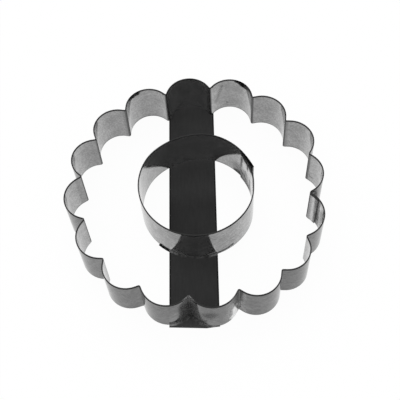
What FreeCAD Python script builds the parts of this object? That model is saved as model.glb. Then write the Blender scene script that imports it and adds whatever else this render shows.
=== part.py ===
import FreeCAD, Part
import math
import os

# A frill cutter: a scalloped band and a plain ring of thin tinned strip, both
# standing on a flat strap that is also the handle. Millimetres and degrees.
# +Z is up, towards the cutting rims, and the strap runs along Y. The origin is
# the middle of the scalloped band, on the strap's underside. Near is -Y.
# Everything along a wall is counted clockwise, as seen from above.

# Strip stock
wall_height = 19.0
wall_thickness = 0.45
lap_gap = 0.05
fold_inside_radius = 0.30

# Scalloped band
petal_count = 16
fold_circle_radius = 45.6
first_fold_angle = 83.9
flank_run = 1.9
seam_fold = 4
seam_inside_lap = 4.8
seam_outside_lap = 1.5

# The band was bent by hand over a peg, so its folds are a little uneven. One
# row for each fold: how far it lies outside the fold circle, how far it lies
# clockwise of its even place, and the bulge of the petal that follows it.
hand_bends = (
    (0.0, 0.5, 6.5),
    (0.5, 0.5, 5.3),
    (-0.5, 0.0, 6.0),
    (-0.5, 0.0, 5.5),
    (-3.5, 0.0, 6.0),
    (0.0, 1.0, 5.5),
    (1.0, -0.5, 6.0),
    (-0.5, -1.0, 5.8),
    (-0.5, -0.5, 5.8),
    (0.5, 0.0, 6.0),
    (0.5, -0.5, 6.5),
    (-0.5, 0.0, 7.3),
    (0.0, 1.0, 6.8),
    (0.5, 0.5, 6.2),
    (0.5, 0.0, 6.5),
    (-1.0, 0.0, 6.5),
)

# Plain inner ring
ring_radius = 22.4
ring_centre_x = -0.8
ring_centre_y = 1.3
ring_lap_start_angle = 36.0
ring_lap_end_angle = 15.6
ring_joggle_lead = 7.0
ring_joggle_run = 5.0
ring_loose_run = 8.0
ring_loose_radius = 40.0

# The ring is a little flat at its far left, between two tighter bends
ring_flat_middle_angle = 112.0
ring_flat_half_angle = 22.0
ring_tight_angle = 20.0
ring_tight_step = 5.0

# Strap
strap_width = 19.0
strap_thickness = 0.50
strap_middle_x = -3.0
strap_overhang = 0.75
strap_near_slant = 1.0
strap_snip_run = 5.0
strap_snip_overhang = 0.2

# Solder at the walls' feet
solder_leg = 0.6
solder_overrun = 4.5
ring_solder_spread = 70.0

Vector = FreeCAD.Vector
up = Vector(0, 0, 1)
lap_step = wall_thickness + lap_gap
ring_centre = Vector(ring_centre_x, ring_centre_y, 0)
strap_left = strap_middle_x - strap_width / 2
strap_right = strap_middle_x + strap_width / 2


def polar(radius, angle):
    """A point at a distance and an angle from the origin."""
    turn = math.radians(angle)
    return Vector(radius * math.cos(turn), radius * math.sin(turn), 0)


def towards(start, end):
    """The unit direction from one point to another."""
    return (end - start).normalize()


def left_of(direction):
    """The unit direction to the left of a direction of travel."""
    return up.cross(direction)


def crossing(point_a, direction_a, point_b, direction_b):
    """Where two straight lines in the plane cross."""
    across = left_of(direction_b)
    run = (point_b - point_a).dot(across) / direction_a.dot(across)
    return point_a + direction_a * run


# A path is a list of stretches. A stretch is one station, at a free end, or
# the three stations of an arc. A station is a point and the direction to its
# left. Straight runs join one stretch to the next.

def free_end(point, heading):
    """The stretch at a free end of a strip."""
    return [(point, left_of(heading))]


def bend(corner, before, after, radius):
    """The arc that rounds a corner of a path."""
    heading_in = towards(before, corner)
    heading_out = towards(corner, after)
    turn = heading_in.getAngle(heading_out)
    side = 1 if left_of(heading_in).dot(heading_out) > 0 else -1
    run = radius * math.tan(turn / 2)
    start = corner - heading_in * run
    end = corner + heading_out * run
    middle_left = (left_of(heading_in) + left_of(heading_out)).normalize()
    centre = start + left_of(heading_in) * (side * radius)
    middle = centre - middle_left * (side * radius)
    return [(start, left_of(heading_in)), (middle, middle_left), (end, left_of(heading_out))]


def clockwise_arc(centre, radius, start_angle, end_angle):
    """The arc that runs clockwise round a centre, from one angle to a lower one."""
    stations = []
    for angle in (start_angle, (start_angle + end_angle) / 2, end_angle):
        outwards = polar(1, angle)
        stations.append((centre + outwards * radius, outwards))
    return stations


def rail(path, distance):
    """The edges of the line that runs beside a path, this far to its left."""
    edges = []
    last = None
    for stretch in path:
        points = [point + left * distance for point, left in stretch]
        if last is not None and not last.isEqual(points[0], 1e-6):
            edges.append(Part.makeLine(last, points[0]))
        if len(points) == 3:
            edges.append(Part.Arc(*points).toShape())
        last = points[-1]
    return edges


def end_cap(station):
    """The cut end of the strip, across its thickness."""
    point, left = station
    return Part.makeLine(point + left * (wall_thickness / 2), point - left * (wall_thickness / 2))


def standing_strip(path):
    """A strip on edge along a path, standing on the strap."""
    edges = rail(path, wall_thickness / 2) + rail(path, -wall_thickness / 2)
    edges += [end_cap(path[0][0]), end_cap(path[-1][-1])]
    outline = Part.Wire(Part.__sortEdges__(edges))
    strip = Part.Face(outline).extrude(up * wall_height)
    strip.translate(up * strap_thickness)
    return strip


def fold_point(index):
    """The sharp corner of one fold, before it is rounded."""
    outwards, ahead = hand_bends[index % len(hand_bends)][:2]
    angle = first_fold_angle - index * 360 / petal_count
    angle -= math.degrees(ahead / fold_circle_radius)
    return polar(fold_circle_radius + outwards, angle)


class Petal:
    """A round tip between two straight flanks, from one fold to the next."""

    def __init__(self, start, end, bulge):
        half_chord = (end - start).Length / 2
        outwards = left_of(towards(start, end))
        chord_middle = (start + end) / 2
        self.tip_radius = (half_chord ** 2 + bulge ** 2 - flank_run ** 2) / (2 * bulge)
        depth = self.tip_radius - bulge
        lean = math.atan2(self.tip_radius, flank_run) - math.atan2(depth, half_chord)
        self.centre = chord_middle - outwards * depth
        self.corner = chord_middle + outwards * (half_chord * math.tan(lean))
        self.start = start
        self.end = end


def band_petals():
    """The petals in order, from the seam right round to the seam."""
    folds = [fold_point(seam_fold + step) for step in range(petal_count + 1)]
    folds[0] = folds[0] + towards(Vector(0, 0, 0), folds[0]) * lap_step
    petals = []
    for step in range(petal_count):
        bulge = hand_bends[(seam_fold + step) % len(hand_bends)][2]
        petals.append(Petal(folds[step], folds[step + 1], bulge))
    return petals


def band_path():
    """The middle line of the scalloped band, whose two ends lap round one fold."""
    petals = band_petals()
    first = petals[0]
    last = petals[-1]
    fold_radius = fold_inside_radius + wall_thickness / 2

    # The outer layer runs beside the last flank, a lap outside it. The inner
    # layer runs beside the first flank, a lap inside it.
    first_heading = towards(first.start, first.corner)
    last_heading = towards(last.corner, last.end)
    outer_line = last.end + left_of(last_heading) * lap_step
    inner_line = first.start - left_of(first_heading) * lap_step
    outer_corner = crossing(outer_line, last_heading, first.start, first_heading)
    inner_corner = crossing(last.end, last_heading, inner_line, first_heading)

    outer_end = outer_corner - last_heading * seam_outside_lap
    path = [free_end(outer_end, last_heading)]
    path.append(bend(outer_corner, outer_end, first.corner, fold_radius))
    path.append(bend(first.corner, outer_corner, first.end, first.tip_radius))
    for before, petal in zip(petals, petals[1:]):
        path.append(bend(petal.start, before.corner, petal.corner, fold_radius))
        path.append(bend(petal.corner, petal.start, petal.end, petal.tip_radius))
    inner_after = inner_corner + first_heading
    path.append(bend(inner_corner, last.corner, inner_after, fold_radius + lap_step))
    path.append(inner_lap_arc(first, inner_corner, first_heading))
    return path


def inner_lap_arc(petal, corner, heading):
    """The inner layer's last stretch, against the inside of the first petal's tip."""
    radius = petal.tip_radius - lap_step
    outwards = left_of(heading)
    arc_start = petal.centre + outwards * radius
    start_angle = math.degrees(math.atan2(outwards.y, outwards.x))
    arc_length = seam_inside_lap - (arc_start - corner).Length
    return clockwise_arc(petal.centre, radius, start_angle, start_angle - math.degrees(arc_length / radius))


def ring_far_side():
    """The ring's stretches round its flat part: a tighter bend, the flat part, and a tighter bend."""
    half_span = ring_flat_half_angle + ring_tight_angle
    outer_sine = math.sin(math.radians(half_span))
    inner_sine = math.sin(math.radians(ring_flat_half_angle))
    tight_radius = ring_radius - ring_tight_step
    flat_radius = tight_radius + ring_tight_step * outer_sine / inner_sine
    angles = [ring_flat_middle_angle + turn for turn in (half_span, ring_flat_half_angle)]
    angles += [ring_flat_middle_angle - turn for turn in (ring_flat_half_angle, half_span)]
    first_centre = ring_centre + polar(ring_tight_step, angles[0])
    flat_centre = first_centre + polar(tight_radius - flat_radius, angles[1])
    last_centre = ring_centre + polar(ring_tight_step, angles[3])
    return [
        clockwise_arc(first_centre, tight_radius, angles[0], angles[1]),
        clockwise_arc(flat_centre, flat_radius, angles[1], angles[2]),
        clockwise_arc(last_centre, tight_radius, angles[2], angles[3]),
    ]


def ring_path():
    """The middle line of the inner ring, which laps over its own start and springs off it a little."""
    lapped_radius = ring_radius - lap_step
    corner_radius = math.hypot(ring_radius, ring_joggle_run)
    leave_turn = math.degrees(math.acos(lapped_radius / corner_radius))
    join_turn = math.degrees(math.acos(ring_radius / corner_radius))
    lapped_end = ring_lap_end_angle - math.degrees(ring_joggle_lead / lapped_radius)
    corner_angle = lapped_end - leave_turn
    main_start = corner_angle - join_turn
    lapped = clockwise_arc(ring_centre, lapped_radius, ring_lap_start_angle, lapped_end)
    half_span = ring_flat_half_angle + ring_tight_angle
    far_start = ring_flat_middle_angle + half_span - 360
    main = clockwise_arc(ring_centre, ring_radius, main_start, far_start)
    loose_start = ring_lap_end_angle - 360 + math.degrees(ring_loose_run / ring_radius)
    last = clockwise_arc(ring_centre, ring_radius, far_start - 2 * half_span, loose_start)
    loose_centre = ring_centre + polar(ring_radius - ring_loose_radius, loose_start)
    loose_end = loose_start - math.degrees(ring_loose_run / ring_loose_radius)
    loose = clockwise_arc(loose_centre, ring_loose_radius, loose_start, loose_end)
    corner = ring_centre + polar(corner_radius, corner_angle)
    before = lapped[-1][0]
    after = main[0][0]
    joggle_radius = ring_joggle_run / math.tan(math.radians(leave_turn + join_turn) / 2)
    return [lapped, bend(corner, before, after, joggle_radius), main] + ring_far_side() + [last, loose]


def petals_on_strap(side):
    """The petals that cross the strap, on the near side (-1) or the far side (1)."""
    found = []
    for petal in band_petals():
        left, right = sorted([petal.start.x, petal.end.x])
        if left < strap_right and right > strap_left and petal.centre.y * side > 0:
            found.append(petal)
    return found


def strap_end(side):
    """How far the strap's near end (-1) or far end (1) reaches, just past the band."""
    tips = [petal.centre.y * side + petal.tip_radius for petal in petals_on_strap(side)]
    return side * (max(tips) + wall_thickness / 2 + strap_overhang)


def near_foot(x):
    """How far the band's outer face reaches at the near end, at one place across the strap."""
    reaches = []
    for petal in petals_on_strap(-1):
        outer_radius = petal.tip_radius + wall_thickness / 2
        across = x - petal.centre.x
        if abs(across) < outer_radius:
            reaches.append(petal.centre.y - math.sqrt(outer_radius ** 2 - across ** 2))
    return min(reaches)


def strap_shape(left, bottom, height):
    """The strap's plan raised to a block: its near end slants, and one corner is snipped along the band's foot."""
    near = strap_end(-1)
    far = strap_end(1)
    slope = strap_near_slant / strap_width
    snip_middle = strap_right - strap_snip_run / 2
    corners = [
        Vector(left, near + slope * (strap_right - left), bottom),
        Vector(strap_right - strap_snip_run, near + slope * strap_snip_run, bottom),
        Vector(snip_middle, near_foot(snip_middle) - strap_snip_overhang, bottom),
        Vector(strap_right, near_foot(strap_right) - strap_snip_overhang, bottom),
        Vector(strap_right, far, bottom),
        Vector(left, far, bottom),
    ]
    outline = Part.makePolygon(corners + corners[:1])
    return Part.Face(outline).extrude(up * height)


def strap():
    """The flat handle strap under both walls."""
    return strap_shape(strap_left, 0, strap_thickness)


def solder_bead(path):
    """A three-cornered bead along the outside of a wall's foot."""
    spine = rail(path, wall_thickness / 2)
    point, left = path[0][0]
    foot = point + left * (wall_thickness / 2)
    corners = [foot, foot + left * solder_leg, foot + up * solder_leg]
    sweep = Part.BRepOffsetAPI.MakePipeShell(Part.Wire(spine))
    sweep.setBiNormalMode(up)
    sweep.add(Part.makePolygon(corners + corners[:1]))
    sweep.build()
    sweep.makeSolid()
    bead = sweep.shape()
    bead.translate(up * strap_thickness)
    return bead


def petal_sector(petal):
    """The wedge that holds one petal, from the band's middle to well outside the band."""
    corners = [Vector(0, 0, 0), petal.start * 2, petal.end * 2]
    outline = Part.makePolygon(corners + corners[:1])
    return Part.Face(outline).extrude(up * (strap_thickness + wall_height))


def band_solder(side):
    """The bead outside the scalloped band, where it crosses the strap."""
    beads = []
    for petal in petals_on_strap(side):
        tip = bend(petal.corner, petal.start, petal.end, petal.tip_radius)
        start = free_end(petal.start, towards(petal.start, petal.corner))
        end = free_end(petal.end, towards(petal.corner, petal.end))
        beads.append(solder_bead([start, tip, end]).common(petal_sector(petal)))
    bead = beads[0].multiFuse(beads[1:]).cut(standing_strip(band_path()))
    return bead.common(strap_shape(strap_left, strap_thickness, solder_leg))


def ring_back_solder():
    """The bead outside the far side of the inner ring."""
    far_side = ring_far_side()
    far_end = ring_flat_middle_angle - ring_flat_half_angle - ring_tight_angle
    rest = clockwise_arc(ring_centre, ring_radius, far_end, 90 - ring_solder_spread)
    bead = solder_bead(far_side + [rest])
    return bead.common(strap_shape(strap_left, strap_thickness, solder_leg))


def ring_front_solder():
    """The bead outside the near side of the inner ring, which runs on past the strap's left edge."""
    edge_angle = -180 + math.degrees(math.acos((ring_centre_x - strap_left) / ring_radius))
    overrun_angle = edge_angle - math.degrees(solder_overrun / ring_radius)
    arc = clockwise_arc(ring_centre, ring_radius, ring_solder_spread - 90, overrun_angle)
    bead = solder_bead([arc])
    return bead.common(strap_shape(strap_left - strap_width, strap_thickness, solder_leg))


def export(name, shape):
    """Write one sub-part."""
    shape.exportStep("parts/" + name + ".step")


def main():
    os.makedirs("parts", exist_ok=True)
    export("outer_band", standing_strip(band_path()))
    export("inner_ring", standing_strip(ring_path()))
    export("strap", strap())
    export("band_solder_near", band_solder(-1))
    export("band_solder_far", band_solder(1))
    export("ring_solder_near", ring_front_solder())
    export("ring_solder_far", ring_back_solder())


main()
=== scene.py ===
import math
from collections import namedtuple

import bpy
from mathutils import Matrix, Vector


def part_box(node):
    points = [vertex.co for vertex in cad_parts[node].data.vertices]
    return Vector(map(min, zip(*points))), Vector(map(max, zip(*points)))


# The looks of a frill cutter: a scalloped band and a plain ring of bright
# tinned strip, standing on a dark flat strap. Metres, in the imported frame.

MM = 0.001

# The camera, fitted to the rims and feet of both walls, with its angles in
# degrees and its lens and sensor in millimetres
CAMERA_PLACE = Vector((7.4, -158.7, 301.1)) * MM
CAMERA_AZIMUTH = 2.62
CAMERA_ELEVATION = 61.55
CAMERA_ROLL = -4.15
CAMERA_LENS = 76.0
CAMERA_CLIP = 10 * MM
SENSOR_WIDTH = 36.0

# Light, with the sun's angles in degrees
WORLD_FILL = 0.75
SUN_ENERGY = 1.0
SUN_SPREAD = 60.0
SUN_TILT = 35.0
SUN_TURN = 20.0
FLOOR_SHADOW_SHARE = 0.04
FLOOR_HALF_SIZE = 1.5
WHITE = (1.0, 1.0, 1.0, 1.0)

# Tones of the metal, as the share of light that it sends back, and what share
# of the rim's tone is left over the strap
# The outer faces get darker tones than the inner ones as painted shade, for the darker surroundings that
# they mirror
INNER_TONE = 0.33
OUTER_TONE_WITH_PAINTED_SHADE = 0.182
RING_INNER_TONE = 0.325
RING_OUTER_TONE_WITH_PAINTED_SHADE = 0.30
RIM_TONE = 0.022
RIM_SHARE_OVER_STRAP = 0.9
BURR_TONE = 0.044
# Painted shade along the band's fold noses, and the lighter one at the part's sides
CREASE_PAINTED_SHADE_TONE = 0.15
SIDE_CREASE_PAINTED_SHADE_TONE = 0.21
# A line of painted shade along the walls' foot
FOOT_SHADE_TONE = 0.10
STRAP_TONE = 0.035
STRAP_EDGE_TONE = 0.014
# The solder's tone is lifted as painted light, like the strap beside it, where the walls keep the light off
SOLDER_TONE_WITH_PAINTED_LIGHT = 0.08
SOLDER_STREAK_TONE = 0.19

# A mark is shiny metal from the first of these tones up, as bare metal and
# painted highlights, and dull below it. Stains, painted shade and painted
# reflections lie between the rim's tone and the second, and stop under the rim.
# Below the third, a mark takes the gloss away.
BARE_METAL_AND_PAINTED_HIGHLIGHT_TONE = 0.55
STAIN_AND_PAINTED_SHADE_TONE = 0.15
BLACK_TONE = 0.1

# How the metals shine
WALL_METALLIC = 0.79
# How the marks below the first tone shine: stains, scuffs, painted shade and painted reflections alike are
# dull
DULL_METALLIC = 0.3
DULL_ROUGHNESS = 0.5
PLAIN_SPECULAR = 0.5
DARK_SPECULAR = 0.02
STRAP_ROUGHNESS = 0.6
STRAP_METALLIC = 0.0
STRAP_SPECULAR = 0.0
SOLDER_ROUGHNESS = 0.6
SOLDER_METALLIC = 0.5
SOLDER_SPECULAR = 0.1

# How much light the walls send back at a glancing angle
INNER_GLANCE = 1.0
OUTER_GLANCE = 0.75
RING_OUTER_GLANCE = 0.9
DARK_GLANCE = 0.1

# Noises: how many lumps a metre, how much detail and, where it isn't a half,
# how rough the detail is, and the middle of a noise that comes as a colour
CLOUD_NOISE = (220.0, 4.0, 0.6)
GRAIN_NOISE = (1300.0, 2.0)
STREAK_NOISE = (450.0, 3.0)
SCRATCH_NOISE = (1000.0, 2.0, 0.6)
FLECK_NOISE = (1300.0, 2.0, 0.6)
# The next noise breaks up the painted shade along the foot
FOOT_SHADE_NOISE = (60.0, 2.0)
STIPPLE_NOISE = (2000.0, 1.0)
RAGGED_NOISE = (1100.0, 2.0)
WAVE_NOISE = (90.0, 1.0)
STRAP_GRAIN_NOISE = (1500.0, 3.0)
STRAP_CLOUD_NOISE = (120.0, 3.0)
LUMP_NOISE = (900.0, 3.0, 0.6)
NOISE_MIDDLE = (0.5, 0.5, 0.5)

# How a place is stretched before it goes into a noise, or made level
LEVEL = (1.0, 1.0, 0.0)
STREAK_STRETCH = (1.0, 1.0, 3.0)
SCRATCH_STRETCH = (1.0, 1.0, 2.5)
STRAP_STRETCH = (1.0, 0.12, 1.0)

# Steps in a noise: as it goes from the first number to the second, what it
# acts on is multiplied by the third to the fourth, or for flecks that much is
# added
CLOUDS = (0.25, 0.75, 0.86, 1.13)
GRAIN = (0.38, 0.62, 0.87, 1.13)
STREAKS = (0.3, 0.7, 0.85, 1.14)
SCRATCHES = (0.4, 0.6, 0.84, 1.14)
FLECKS = (0.55, 0.65, 0.0, 0.2)
# The next step breaks up the painted shade along the foot
FOOT_SHADE_BREAKS = (0.4, 0.6, 0.2, 0.9)
PATCHES = (0.38, 0.52, 0.62, 1.0)
STIPPLE = (0.4, 0.6, 0.65, 1.32)
STRAP_GRAIN = (0.3, 0.7, 0.95, 1.05)
STRAP_CLOUDS = (0.3, 0.7, 0.96, 1.04)
LUMPS = (0.35, 0.65, 0.6, 1.3)

# The wall's roughness, in the same form as the steps
WALL_SHINE = (0.3, 0.8, 0.08, 0.16)

# Steps in how far a face is turned to the part's side or front: how many light
# flecks it gets, and painted light and shade that lighten and darken the faces
# by the way they face, to keep the petals even
SIDE_FLECKS = (0.3, 0.7, 0.15, 1.0)
INNER_FACING_PAINTED_LIGHT = (0.55, 1.0, 1.12, 0.90)
OUTER_FACING_PAINTED_LIGHT = (0.5, 1.0, 1.25, 0.90)
BAND_TURN_PAINTED_LIGHT = (-0.7, 0.5, 0.93, 1.07)

# The same painted light and shade across the band's outer face, where the first
# two are the place on X in millimetres, and up the walls over the strap, where
# they are the height
BAND_SIDE_PAINTED_LIGHT = (
    (-38, -24, 1.30, 1.0),
    (-24, -12, 1.0, 0.94),
    (8, 20, 1.0, 1.04),
    (32, 44, 1.0, 1.17),
)
HEIGHT_PAINTED_LIGHT = (0.5 * MM, 17 * MM, 1.35, 0.88)

# Bumps: how deep, and how strong
WALL_BUMP = (0.12 * MM, 0.5)
STRAP_BUMP = (0.01 * MM, 0.2)
SOLDER_BUMP = (0.1 * MM, 0.8)

# Where the walls keep the light off the strap: how far that reaches, and the
# lift of the strap's tone in front of the far walls, in front of the ring and
# at the near end, with the places on Y between which that last one fades out
# and the width of the step between the near half and the far one
SHADE_REACH = 4.0 * MM
SHADE_LIFT_FAR = 1.75
SHADE_LIFT_NEAR = 0.85
SHADE_LIFT_END = 1.25
END_LIFT_PLACES = (-47.5 * MM, -45.5 * MM)
HALF_STEP = 10 * MM

# Places and widths on the part, how soft the edge of its fine lines is as a share
# of their width, and how far the edges of marks and painted light are ragged
BAND_CENTRE = Vector((0.0, 0.0, 0.0))
RING_CENTRE = Vector((-0.8, 1.3, 0.0)) * MM
RING_RADIUS = 22.4 * MM
RING_EDGE_WIDTH = 0.2 * MM
FAR_FOOT = 50.3 * MM
STRAP_EDGE_START = 0.8 * MM
STRAP_EDGE_FULL = 0.32 * MM
OFF_STRAP_STEP = 1.0 * MM
BURR_HEIGHT = 0.4 * MM
FOOT_LINE_HEIGHT = 0.5 * MM
LINE_SOFTNESS = 0.4
RAGGED_REACH = 1.6 * MM
SOLDER_STREAK_PLACES = (5.5 * MM, 7 * MM)
# How far the solder turns black past the strap's low X edge
SOLDER_BLACK_WIDTH = 0.3 * MM
SOLDER_HALF_STEP = 1.0 * MM

# The band's folds, with the first one's angle in degrees. The painted shade along
# a fold fades between two angles from it, in radians, and only the nose that
# faces the band's middle gets it. Its tone changes with the place on X.
FOLD_COUNT = 16
FIRST_FOLD_ANGLE = 83.9
CREASE_EDGE = (0.018, 0.028)
CREASE_NOSE = (-0.90, -0.50)
CREASE_SIDE_PLACES = (25 * MM, 42 * MM)

# Which way a face looks: the soft steps between the inner and outer face, and
# between an upright and a level one
SIDE_STEP = (-0.05, 0.05)
LEVEL_STEP = (0.4, 0.6)

# Marks and painted light on the faces: start, end and radius in millimetres,
# tone, how strong, and how soft the edge is as a share of the radius
# Inside the ring: scuffs and smudges, and dark strokes along the rim that are painted reflections of the
# strap
RING_INNER_MARKS_AND_PAINTED_LIGHT = (
    ((16.9, 14.0, 19.3), (18.4, 11.4, 18.8), 1.6, 0.006, 1.0, 0.25),
    ((18.4, 11.4, 18.7), (20.2, 7.2, 18.7), 2.3, 0.006, 1.0, 0.25),
    ((20.2, 7.2, 19.0), (20.6, 4.6, 18.6), 1.2, 0.02, 0.9, 0.4),
    ((16.0, 15.8, 5.0), (17.6, 12.6, 5.0), 3.4, 0.13, 0.75, 0.8),
    ((17.8, 12.4, 4.0), (19.9, 7.6, 3.6), 2.6, 0.17, 0.6, 0.8),
    ((17.1, 13.6, 16.0), (16.9, 14.4, 8.0), 0.9, 0.11, 0.9, 0.5),
    ((15.2, 16.7, 1.2), (17.0, 14.4, 2.4), 1.6, 0.05, 0.85, 0.5),
    ((17.0, 14.4, 1.6), (19.6, 8.4, 2.0), 1.2, 0.07, 0.7, 0.5),
    ((18.0, 12.0, 13.6), (18.7, 10.6, 11.0), 1.0, 0.58, 0.8, 0.6),
    ((19.6, 9.0, 14.5), (19.9, 7.8, 11.5), 0.7, 0.58, 0.7, 0.6),
    ((18.0, 11.8, 9.0), (19.0, 10.0, 7.4), 0.8, 0.14, 0.7, 0.5),
    ((19.1, 9.9, 17.5), (19.3, 9.5, 14.0), 0.6, 0.05, 0.9, 0.4),
    ((17.6, 12.8, 12.5), (18.2, 11.6, 9.5), 0.45, 0.55, 0.8, 0.5),
    ((18.6, 10.9, 10.5), (18.9, 10.3, 8.5), 0.4, 0.10, 0.8, 0.5),
    ((16.9, 14.0, 7.0), (17.5, 12.9, 5.0), 0.7, 0.08, 0.8, 0.5),
    ((18.2, 11.6, 5.5), (18.8, 10.5, 4.0), 0.6, 0.09, 0.8, 0.5),
    ((20.5, 5.4, 16.0), (20.6, 4.4, 5.0), 0.5, 0.75, 0.7, 0.5),
    ((20.0, 7.2, 9.0), (20.1, 6.9, 2.0), 0.7, 0.12, 0.8, 0.5),
)
# Outside the ring: light streaks beside the solder, and a dark line along the foot that is painted shade
RING_OUTER_MARKS_AND_PAINTED_LIGHT = (
    ((-10.5, -19.1, 3.0), (-6.7, -20.6, 1.2), 0.5, 0.30, 0.8, 0.5),
    ((2.7, -21.05, 1.8), (5.7, -20.4, 2.8), 0.5, 0.30, 0.8, 0.5),
    ((6.6, -20.1, 1.4), (12.3, -17.1, 2.2), 0.6, 0.03, 0.8, 0.4),
)
# Inside the band: scuffs and smudges, dark strokes along the far rim that are painted reflections of the
# strap, a dark band by the seam that is partly the lap's mark and partly painted shade, and light strokes
# beside it that are painted highlights
BAND_INNER_MARKS_AND_PAINTED_LIGHT = (
    ((-27.2, 42.0, 19.0), (-24.3, 44.6, 18.9), 1.2, 0.004, 1.0, 0.3),
    ((16.4, 48.6, 19.4), (18.6, 47.3, 18.7), 1.0, 0.004, 1.0, 0.3),
    ((18.4, 47.4, 18.7), (19.8, 46.1, 18.5), 1.5, 0.004, 1.0, 0.3),
    ((19.8, 46.1, 18.9), (22.0, 41.6, 18.9), 0.9, 0.06, 0.9, 0.5),
    ((7.8, 47.4, 7.0), (10.3, 48.6, 16.5), 0.8, 0.16, 0.45, 0.8),
    ((10.2, 48.6, 15.8), (10.5, 48.7, 16.6), 0.4, 0.12, 0.6, 0.8),
    ((12.3, 49.1, 4.6), (12.5, 49.1, 3.8), 0.4, 0.11, 0.6, 0.8),
    ((44.4, 11.6, 4.6), (44.9, 11.1, 4.2), 0.45, 0.12, 0.6, 0.8),
    ((45.3, 10.6, 4.0), (45.6, 10.3, 3.9), 0.35, 0.12, 0.7, 0.8),
    ((43.5, -6.6, 18.4), (43.8, -6.9, 0.5), 0.5, 0.57, 0.85, 0.6),
    ((42.4, -5.6, 18.4), (42.6, -5.8, 0.5), 0.4, 0.20, 0.5, 0.6),
    ((44.5, -7.7, 19.0), (44.8, -8.0, 1.0), 0.75, 0.11, 0.9, 0.5),
    ((45.3, -8.5, 19.0), (45.6, -8.9, 1.0), 1.0, 0.11, 0.7, 0.6),
    ((45.2, -8.5, 9.0), (45.4, -8.8, 5.0), 0.9, 0.07, 0.6, 0.8),
    ((46.5, -11.0, 14.0), (46.6, -11.5, 5.0), 1.3, 0.16, 0.5, 0.8),
    ((46.0, -9.6, 16.5), (46.2, -9.9, 14.0), 0.4, 0.9, 0.6, 0.7),
    ((46.7, -12.4, 15.5), (46.7, -12.4, 13.5), 0.4, 0.9, 0.5, 0.7),
)
# Outside the band: scuffs and smudges, a dark wedge at the near fold that is a painted reflection of the
# strap, white patches by the near right fold that are painted reflections of the white ground, and a dark
# patch by the seam's cusp that is painted shade
BAND_OUTER_MARKS_AND_PAINTED_LIGHT = (
    ((-4.8, -45.6, 15.0), (-4.7, -46.6, 0.5), 4.0, 0.065, 1.0, 0.3),
    ((-4.6, -45.6, 19.5), (-4.6, -46.0, 17.0), 2.2, 0.16, 0.85, 0.6),
    ((-12.0, -49.0, 1.4), (-8.6, -48.0, 1.8), 0.9, 0.17, 0.7, 0.6),
    ((-0.3, -48.9, 1.4), (4.5, -50.2, 1.2), 1.0, 0.24, 0.7, 0.6),
    ((2.4, -49.7, 10.4), (3.2, -49.9, 12.0), 2.2, 0.09, 0.75, 0.8),
    ((1.0, -49.4, 4.6), (1.4, -49.5, 5.6), 0.8, 0.08, 0.6, 0.6),
    ((3.0, -49.9, 8.0), (9.0, -49.2, 11.0), 5.0, 0.12, 0.4, 0.6),
    ((11.6, -46.7, 18.0), (13.2, -44.4, 13.5), 1.9, 0.15, 0.9, 0.5),
    ((13.6, -43.9, 18.0), (13.8, -43.9, 9.0), 1.3, 0.15, 0.9, 0.6),
    ((15.6, -44.55, 18.0), (15.5, -44.5, 14.0), 0.6, 0.30, 0.8, 0.6),
    ((14.9, -44.1, 9.5), (14.2, -43.6, 5.0), 0.7, 0.34, 0.85, 0.6),
    ((15.1, -44.2, 4.5), (16.4, -45.0, 2.0), 0.7, 0.30, 0.75, 0.6),
    ((10.6, -47.4, 14.0), (9.8, -48.2, 5.0), 1.2, 0.32, 0.6, 0.8),
    ((12.3, -45.8, 9.0), (12.3, -45.8, 0.5), 1.6, 1.0, 1.0, 0.5),
    ((11.2, -47.1, 3.0), (12.0, -46.3, 0.5), 1.3, 1.0, 0.8, 0.6),
    ((43.8, -3.4, 18.0), (44.9, -2.7, 12.0), 1.2, 0.05, 0.85, 0.8),
    ((44.9, -7.95, 18.0), (44.9, -7.95, 1.0), 0.45, 0.20, 0.8, 0.4),
)

# One face of a wall: its tone, how much it sends back at a glancing angle, and
# its marks and painted light
Face = namedtuple("Face", "tone glance marks")
BAND_INNER = Face(INNER_TONE, INNER_GLANCE, BAND_INNER_MARKS_AND_PAINTED_LIGHT)
BAND_OUTER = Face(OUTER_TONE_WITH_PAINTED_SHADE, OUTER_GLANCE, BAND_OUTER_MARKS_AND_PAINTED_LIGHT)
RING_INNER = Face(RING_INNER_TONE, INNER_GLANCE, RING_INNER_MARKS_AND_PAINTED_LIGHT)
RING_OUTER = Face(RING_OUTER_TONE_WITH_PAINTED_SHADE, RING_OUTER_GLANCE, RING_OUTER_MARKS_AND_PAINTED_LIGHT)

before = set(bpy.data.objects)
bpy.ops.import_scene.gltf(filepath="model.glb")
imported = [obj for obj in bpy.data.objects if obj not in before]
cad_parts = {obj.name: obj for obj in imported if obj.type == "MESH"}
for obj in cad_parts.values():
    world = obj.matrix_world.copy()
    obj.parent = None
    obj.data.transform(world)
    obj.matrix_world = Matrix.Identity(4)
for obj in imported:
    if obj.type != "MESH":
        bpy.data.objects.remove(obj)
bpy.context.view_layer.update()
strap_low, strap_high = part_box("strap")
rim_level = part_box("outer_band")[1].z
strap_middle = (strap_low.x + strap_high.x) / 2
strap_half_width = (strap_high.x - strap_low.x) / 2


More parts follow.
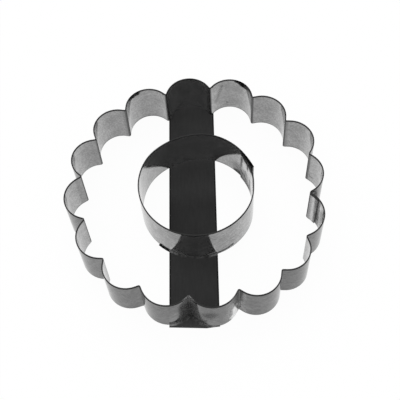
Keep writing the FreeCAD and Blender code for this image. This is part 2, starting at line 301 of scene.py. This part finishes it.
class Nodes:
    """The node tree of one material or world, built by short calls."""

    def __init__(self, owner):
        owner.use_nodes = True
        self.tree = owner.node_tree
        self.tree.nodes.clear()

    def plug(self, socket, source):
        """Link a socket to another node's output, or set it to a number or colour."""
        if isinstance(source, bpy.types.NodeSocket):
            self.tree.links.new(source, socket)
        else:
            socket.default_value = source

    def add(self, kind, inputs=None, **settings):
        """A new node, with its settings and the inputs that are named."""
        node = self.tree.nodes.new(kind)
        for name, value in settings.items():
            setattr(node, name, value)
        for name, source in (inputs or {}).items():
            self.plug(node.inputs[name], source)
        return node

    def math(self, operation, first, second=0.0):
        """The result of one sum."""
        return self.add("ShaderNodeMath", {0: first, 1: second}, operation=operation).outputs[0]

    def product(self, first, *others):
        """All the numbers multiplied together."""
        for other in others:
            first = self.math("MULTIPLY", first, other)
        return first

    def total(self, first, *others):
        """All the numbers added up."""
        for other in others:
            first = self.math("ADD", first, other)
        return first

    def rest_of(self, share):
        """What a share leaves of 1."""
        return self.math("SUBTRACT", 1.0, share)

    def between(self, value, low, high, start=0.0, end=1.0):
        """A smooth step from start to end as the value goes from low to high."""
        inputs = {"Value": value, "From Min": low, "From Max": high, "To Min": start, "To Max": end}
        node = self.add("ShaderNodeMapRange", inputs, interpolation_type="SMOOTHSTEP")
        return node.outputs["Result"]

    def above(self, value, level, softness):
        """1 above a level and 0 below it, with a soft edge."""
        return self.between(value, level - softness, level + softness)

    def below(self, value, level, softness):
        """1 below a level and 0 above it, with a soft edge."""
        return self.between(value, level - softness, level + softness, 1.0, 0.0)

    def blend(self, share, first, second):
        """One number mixed into another."""
        node = self.add("ShaderNodeMix", data_type="FLOAT")
        self.plug(node.inputs["Factor"], share)
        self.plug(node.inputs["A"], first)
        self.plug(node.inputs["B"], second)
        return node.outputs["Result"]

    def noise(self, place, scale, detail, roughness=0.5, output="Fac"):
        """Noise from 0 to 1 round 0.5, as one number or, from the Color output, three."""
        inputs = {"Vector": place, "Scale": scale, "Detail": detail, "Roughness": roughness}
        return self.add("ShaderNodeTexNoise", inputs).outputs[output]

    def bump(self, height, depth, strength):
        """A surface roughened by a height from 0 to 1."""
        inputs = {"Height": height, "Distance": depth, "Strength": strength}
        return self.add("ShaderNodeBump", inputs).outputs[0]

    def place(self):
        """The point on the part, in its own frame."""
        return self.add("ShaderNodeTexCoord").outputs["Object"]

    def axes(self, vector):
        """The three parts of a vector."""
        return self.add("ShaderNodeSeparateXYZ", {0: vector}).outputs

    def vector(self, operation, first, second=(0.0, 0.0, 0.0)):
        """The result of one sum of vectors: a vector, or a number for a dot product or distance."""
        node = self.add("ShaderNodeVectorMath", {0: first, 1: second}, operation=operation)
        return node.outputs["Value" if operation in ("DOT_PRODUCT", "DISTANCE") else "Vector"]

    def stretched(self, place, factors):
        """A place with each axis multiplied by its own factor."""
        return self.vector("MULTIPLY", place, factors)

    def stroke(self, place, start, end, radius, softness):
        """1 within a radius of the line between two points, 0 well outside it."""
        start, end = Vector(start) * MM, Vector(end) * MM
        line = end - start
        beside = self.vector("SUBTRACT", place, tuple(start))
        along = self.vector("DOT_PRODUCT", beside, tuple(line / line.length_squared))
        along = self.math("MINIMUM", self.math("MAXIMUM", along, 0.0), 1.0)
        steps = self.add("ShaderNodeCombineXYZ", {"X": along, "Y": along, "Z": along}).outputs[0]
        away = self.vector("DISTANCE", beside, self.vector("MULTIPLY", steps, tuple(line)))
        return self.below(away, radius * MM, radius * softness * MM)

    def faded(self, distance):
        """A share that falls away from 1 with the distance from a wall."""
        steps = self.math("DIVIDE", self.math("MAXIMUM", distance, 0.0), SHADE_REACH)
        return self.math("DIVIDE", 1.0, self.math("ADD", steps, 1.0))

    def grey(self, tone):
        """A grey colour of one tone."""
        return self.add("ShaderNodeCombineColor", {"Red": tone, "Green": tone, "Blue": tone}).outputs[0]


class Wall:
    """Where a point lies on a wall: how high, which way its face looks, and if it is over the strap."""

    def __init__(self, nodes, centre):
        self.place = nodes.place()
        x, _, self.height = nodes.axes(self.place)
        self.flat = nodes.stretched(nodes.vector("SUBTRACT", self.place, tuple(centre)), LEVEL)

        # How far the face is turned to the part's right, to its front or back, and up
        normal = nodes.add("ShaderNodeNewGeometry").outputs["Normal"]
        self.turned_x, turned_y, upwards = nodes.axes(normal)
        self.turned_y = nodes.math("ABSOLUTE", turned_y)

        # Out from the wall's middle or in, and the level cut edges
        outwards = nodes.vector("NORMALIZE", self.flat)
        self.facing = nodes.vector("DOT_PRODUCT", outwards, normal)
        self.outer = nodes.between(self.facing, *SIDE_STEP)
        self.rim = nodes.between(nodes.math("ABSOLUTE", upwards), *LEVEL_STEP)
        self.burr = nodes.above(self.height, rim_level - BURR_HEIGHT, BURR_HEIGHT * LINE_SOFTNESS)

        from_strap = nodes.math("ABSOLUTE", nodes.math("SUBTRACT", x, strap_middle))
        self.off_strap = nodes.between(from_strap, strap_half_width - OFF_STRAP_STEP, strap_half_width)


def metal(nodes, tone, roughness, metallic, bump, specular, glance=None):
    """The metal shader at the end of a tree."""
    inputs = {"Base Color": nodes.grey(tone), "Roughness": roughness, "Metallic": metallic, "Normal": bump}
    shader = nodes.add("ShaderNodeBsdfPrincipled", inputs)
    nodes.plug(shader.inputs["Specular IOR Level"], specular)
    if glance is not None:
        nodes.plug(shader.inputs["Specular Tint"], nodes.grey(glance))
    nodes.add("ShaderNodeOutputMaterial", {"Surface": shader.outputs[0]})


def painted_facing_light(nodes, wall, folded):
    """Painted light and shade that each face is multiplied by for the way it faces, and on the band's outer
    face for its place.
    """
    inner = nodes.between(wall.turned_y, *INNER_FACING_PAINTED_LIGHT)
    outer = nodes.between(wall.turned_y, *OUTER_FACING_PAINTED_LIGHT)
    if folded:
        x = nodes.axes(wall.flat)["X"]
        for low, high, first, last in BAND_SIDE_PAINTED_LIGHT:
            outer = nodes.product(outer, nodes.between(x, low * MM, high * MM, first, last))
        outer = nodes.product(outer, nodes.between(wall.turned_x, *BAND_TURN_PAINTED_LIGHT))
    return nodes.blend(wall.outer, inner, outer)


def fine_texture(nodes, wall):
    """Grain on the inner face, and streaks, scratches and flecks on the outer one."""
    grain = nodes.between(nodes.noise(wall.place, *GRAIN_NOISE), *GRAIN)
    streaks = nodes.noise(nodes.stretched(wall.place, STREAK_STRETCH), *STREAK_NOISE)
    scratches = nodes.noise(nodes.stretched(wall.place, SCRATCH_STRETCH), *SCRATCH_NOISE)
    flecks = nodes.between(nodes.noise(wall.place, *FLECK_NOISE), *FLECKS)
    sideways = nodes.between(nodes.math("ABSOLUTE", wall.turned_x), *SIDE_FLECKS)
    fine = nodes.total(nodes.between(scratches, *SCRATCHES), nodes.product(flecks, sideways))
    return nodes.blend(wall.outer, grain, nodes.product(nodes.between(streaks, *STREAKS), fine))


def painted_foot_shade(nodes, wall):
    """A line of painted shade along parts of the foot, away from the strap."""
    line = nodes.below(wall.height, strap_high.z + FOOT_LINE_HEIGHT, FOOT_LINE_HEIGHT * LINE_SOFTNESS)
    foot_shade_breaks = nodes.between(nodes.noise(wall.place, *FOOT_SHADE_NOISE), *FOOT_SHADE_BREAKS)
    return nodes.product(line, foot_shade_breaks, wall.off_strap)


def painted_fold_shade(nodes, wall):
    """Where the band's fold noses get painted shade, and its tone, lighter at the part's sides."""
    x, y, _ = nodes.axes(wall.flat)
    step = math.tau / FOLD_COUNT
    angle = nodes.math("SUBTRACT", nodes.math("ARCTAN2", y, x), math.radians(FIRST_FOLD_ANGLE) - step / 2)
    beside = nodes.math("SUBTRACT", nodes.math("FLOORED_MODULO", angle, step), step / 2)
    near_fold = nodes.between(nodes.math("ABSOLUTE", beside), *CREASE_EDGE, 1.0, 0.0)
    nose = nodes.between(wall.facing, *CREASE_NOSE, 1.0, 0.0)
    sideways = nodes.math("ABSOLUTE", x)
    tone = nodes.between(sideways, *CREASE_SIDE_PLACES, CREASE_PAINTED_SHADE_TONE, SIDE_CREASE_PAINTED_SHADE_TONE)
    return nodes.product(near_fold, nose), tone


def add_marks_and_painted_light(nodes, wall, tone, dark, sides):
    """Scuffs, smudges, painted shade, painted highlights and painted reflections over a tone, dull and
    patchy, with ragged edges.

    It gives the new tone, how dark the point is, and how dulled.
    """
    ragged = nodes.noise(wall.place, *RAGGED_NOISE, output="Color")
    ragged = nodes.vector("SUBTRACT", ragged, NOISE_MIDDLE)
    shifted = nodes.vector("ADD", wall.place, nodes.stretched(ragged, (RAGGED_REACH,) * 3))
    patchy = nodes.between(nodes.noise(wall.place, *GRAIN_NOISE), *PATCHES)
    stipple = nodes.between(nodes.noise(wall.place, *STIPPLE_NOISE), *STIPPLE)
    under_rim = nodes.rest_of(nodes.math("MAXIMUM", wall.rim, wall.burr))
    dulled = 0.0
    for side, marks in sides:
        for start, end, radius, mark_tone, strength, softness in marks:
            share = nodes.stroke(shifted, start, end, radius, softness)
            share = nodes.product(share, strength, side, patchy)
            if RIM_TONE < mark_tone < STAIN_AND_PAINTED_SHADE_TONE:
                share = nodes.product(share, under_rim)
            if mark_tone < BLACK_TONE:
                dark = nodes.math("MAXIMUM", dark, share)
            if mark_tone < BARE_METAL_AND_PAINTED_HIGHLIGHT_TONE:
                dulled = nodes.math("MAXIMUM", dulled, share)
                mark_tone = nodes.product(stipple, mark_tone)
            tone = nodes.blend(share, tone, mark_tone)
    return tone, dark, dulled


def wall_steel(name, centre, inner, outer, folded):
    """Bright tinned strip on edge: smeared mirror faces, dark cut rims and, on the band, painted shade
    along the folds.
    """
    material = bpy.data.materials.new(name)
    nodes = Nodes(material)
    wall = Wall(nodes, centre)

    # The faces: smears, cloudy tin and fine texture, with painted light and shade by the way each face
    # turns, by its place, and up the walls over the strap
    clouds = nodes.noise(wall.place, *CLOUD_NOISE)
    painted_height_light = nodes.between(wall.height, *HEIGHT_PAINTED_LIGHT)
    tone = nodes.product(
        nodes.blend(wall.outer, inner.tone, outer.tone),
        painted_facing_light(nodes, wall, folded),
        nodes.between(clouds, *CLOUDS),
        fine_texture(nodes, wall),
        nodes.blend(wall.off_strap, painted_height_light, 1.0),
    )
    # Painted shade in a line along the foot, away from the strap
    tone = nodes.blend(painted_foot_shade(nodes, wall), tone, FOOT_SHADE_TONE)

    # The painted shade along the folds, the burr under the rim, and the cut rim itself
    dark = nodes.math("MAXIMUM", wall.rim, wall.burr)
    if folded:
        fold_shade, fold_shade_tone = painted_fold_shade(nodes, wall)
        tone = nodes.blend(fold_shade, tone, fold_shade_tone)
        dark = nodes.math("MAXIMUM", dark, fold_shade)
    tone = nodes.blend(wall.burr, tone, BURR_TONE)
    rim_tone = nodes.product(nodes.blend(wall.off_strap, RIM_SHARE_OVER_STRAP, 1.0), RIM_TONE)
    tone = nodes.blend(wall.rim, tone, rim_tone)

    # The marks and painted light of the inner face run on over the rim
    inside = nodes.math("MAXIMUM", nodes.rest_of(wall.outer), wall.rim)
    sides = ((inside, inner.marks), (wall.outer, outer.marks))
    tone, dark, dulled = add_marks_and_painted_light(nodes, wall, tone, dark, sides)

    roughness = nodes.blend(dulled, nodes.between(clouds, *WALL_SHINE), DULL_ROUGHNESS)
    metallic = nodes.blend(dulled, WALL_METALLIC, DULL_METALLIC)
    specular = nodes.blend(dark, PLAIN_SPECULAR, DARK_SPECULAR)
    glance = nodes.blend(dark, nodes.blend(wall.outer, inner.glance, outer.glance), DARK_GLANCE)
    bump = nodes.bump(nodes.noise(wall.place, *WAVE_NOISE), *WALL_BUMP)
    metal(nodes, tone, roughness, metallic, bump, specular, glance)
    return material


def strap_lift(nodes, place):
    """How much lighter the strap is where the walls keep the light off, so that it looks even."""
    y = nodes.axes(place)["Y"]
    far_half = nodes.between(y, 0.0, HALF_STEP)
    near_half = nodes.between(y, -HALF_STEP, 0.0, 1.0, 0.0)
    from_ring = nodes.vector("DISTANCE", nodes.stretched(place, LEVEL), tuple(RING_CENTRE))
    in_ring = nodes.between(from_ring, RING_RADIUS - RING_EDGE_WIDTH, RING_RADIUS, 1.0, 0.0)
    past_ring = nodes.rest_of(in_ring)
    inside = nodes.faded(nodes.math("SUBTRACT", RING_RADIUS, from_ring))
    beyond = nodes.faded(nodes.math("SUBTRACT", from_ring, RING_RADIUS))
    far_end = nodes.faded(nodes.math("SUBTRACT", FAR_FOOT, y))
    return nodes.total(
        nodes.product(inside, in_ring, far_half, SHADE_LIFT_FAR),
        nodes.product(beyond, past_ring, near_half, SHADE_LIFT_NEAR),
        nodes.product(far_end, past_ring, far_half, SHADE_LIFT_FAR),
        nodes.between(y, *END_LIFT_PLACES, SHADE_LIFT_END, 0.0),
    )


def strap_steel():
    """Dark flat strip, with a fine grain along its length and darker edges."""
    material = bpy.data.materials.new("strap_steel")
    nodes = Nodes(material)
    place = nodes.place()
    across = nodes.math("ABSOLUTE", nodes.math("SUBTRACT", nodes.axes(place)["X"], strap_middle))
    edge = nodes.between(across, strap_half_width - STRAP_EDGE_START, strap_half_width - STRAP_EDGE_FULL)
    grain = nodes.noise(nodes.stretched(place, STRAP_STRETCH), *STRAP_GRAIN_NOISE)
    clouds = nodes.noise(place, *STRAP_CLOUD_NOISE)
    tone = nodes.product(
        nodes.blend(edge, STRAP_TONE, STRAP_EDGE_TONE),
        nodes.total(strap_lift(nodes, place), 1.0),
        nodes.between(grain, *STRAP_GRAIN),
        nodes.between(clouds, *STRAP_CLOUDS),
    )
    bump = nodes.bump(grain, *STRAP_BUMP)
    metal(nodes, tone, STRAP_ROUGHNESS, STRAP_METALLIC, bump, STRAP_SPECULAR)
    return material


def solder_metal():
    """Dull solder, its tone lifted as painted light where the walls shade it, lighter beside the strap's
    edges, and black past the strap's low X edge.
    """
    material = bpy.data.materials.new("solder")
    nodes = Nodes(material)
    place = nodes.place()
    x, y, _ = nodes.axes(place)
    lumps = nodes.noise(place, *LUMP_NOISE)
    off_strap = nodes.between(x, strap_low.x - SOLDER_BLACK_WIDTH, strap_low.x, 1.0, 0.0)
    from_middle = nodes.math("ABSOLUTE", nodes.math("SUBTRACT", x, strap_middle))
    near_half = nodes.between(y, -SOLDER_HALF_STEP, 0.0, 1.0, 0.0)
    streak = nodes.product(nodes.between(from_middle, *SOLDER_STREAK_PLACES), near_half)
    tone = nodes.blend(streak, SOLDER_TONE_WITH_PAINTED_LIGHT, SOLDER_STREAK_TONE)
    tone = nodes.product(tone, nodes.between(lumps, *LUMPS))
    tone = nodes.blend(off_strap, tone, STRAP_EDGE_TONE)
    bump = nodes.bump(lumps, *SOLDER_BUMP)
    metal(nodes, tone, SOLDER_ROUGHNESS, SOLDER_METALLIC, bump, SOLDER_SPECULAR)
    return material


def dress(names, material):
    """Give CAD nodes a material in place of the plain one."""
    for name in names:
        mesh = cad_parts[name].data
        mesh.materials.clear()
        mesh.materials.append(material)


def seen_white(nodes, shader, share):
    """Mix plain white over a shader, for what the camera and mirrors see."""
    path = nodes.add("ShaderNodeLightPath").outputs
    seen = nodes.math("MAXIMUM", path["Is Camera Ray"], path["Is Glossy Ray"])
    seen = nodes.math("MAXIMUM", seen, path["Is Transmission Ray"])
    white = nodes.add("ShaderNodeEmission", {"Color": WHITE, "Strength": 1.0})
    inputs = {0: nodes.product(seen, share), 1: shader, 2: white.outputs[0]}
    return nodes.add("ShaderNodeMixShader", inputs).outputs[0]


def add_object(name, data):
    """A new object in the scene."""
    item = bpy.data.objects.new(name, data)
    bpy.context.scene.collection.objects.link(item)
    return item


def make_floor():
    """A plain white floor at the strap's underside, which keeps a faint shadow."""
    size = FLOOR_HALF_SIZE
    mesh = bpy.data.meshes.new("floor")
    corners = [(-size, -size, 0), (size, -size, 0), (size, size, 0), (-size, size, 0)]
    mesh.from_pydata(corners, [], [(0, 1, 2, 3)])
    material = bpy.data.materials.new("floor_white")
    nodes = Nodes(material)
    matt = nodes.add("ShaderNodeBsdfDiffuse", {"Color": WHITE})
    surface = seen_white(nodes, matt.outputs[0], 1 - FLOOR_SHADOW_SHARE)
    nodes.add("ShaderNodeOutputMaterial", {"Surface": surface})
    mesh.materials.append(material)
    floor = add_object("floor", mesh)


def make_world():
    """A white surround, dimmer as a light than it looks."""
    world = bpy.data.worlds.new("studio")
    bpy.context.scene.world = world
    nodes = Nodes(world)
    fill = nodes.add("ShaderNodeBackground", {"Color": WHITE, "Strength": WORLD_FILL})
    surface = seen_white(nodes, fill.outputs[0], 1.0)
    nodes.add("ShaderNodeOutputWorld", {"Surface": surface})


def make_sun():
    """One broad soft light from above, behind and a little to the left."""
    light = bpy.data.lights.new("softbox", "SUN")
    light.energy = SUN_ENERGY
    light.angle = math.radians(SUN_SPREAD)
    turn = Matrix.Rotation(math.radians(SUN_TURN), 4, "Z")
    tilt = Matrix.Rotation(math.radians(-SUN_TILT), 4, "X")
    add_object("softbox", light).matrix_world = turn @ tilt


def make_camera():
    """The camera at the photograph's place and angle."""
    data = bpy.data.cameras.new("camera")
    data.lens = CAMERA_LENS
    data.sensor_width = SENSOR_WIDTH
    data.clip_start = CAMERA_CLIP
    azimuth = math.radians(CAMERA_AZIMUTH)
    elevation = math.radians(CAMERA_ELEVATION)
    roll = math.radians(CAMERA_ROLL)
    level = math.cos(elevation)
    back = Vector((math.sin(azimuth) * level, -math.cos(azimuth) * level, math.sin(elevation)))
    level_right = Vector((math.cos(azimuth), math.sin(azimuth), 0.0))
    right = level_right * math.cos(roll) + back.cross(level_right) * math.sin(roll)
    up = back.cross(right)
    camera = add_object("camera", data)
    camera.matrix_world = Matrix.Translation(CAMERA_PLACE) @ Matrix((right, up, back)).transposed().to_4x4()
    bpy.context.scene.camera = camera


dress(["outer_band"], wall_steel("band_steel", BAND_CENTRE, BAND_INNER, BAND_OUTER, folded=True))
dress(["inner_ring"], wall_steel("ring_steel", RING_CENTRE, RING_INNER, RING_OUTER, folded=False))
dress(["strap"], strap_steel())
dress(["band_solder_near", "band_solder_far", "ring_solder_near", "ring_solder_far"], solder_metal())

make_floor()
make_world()
make_sun()
make_camera()
bpy.context.scene.view_settings.view_transform = "Standard"
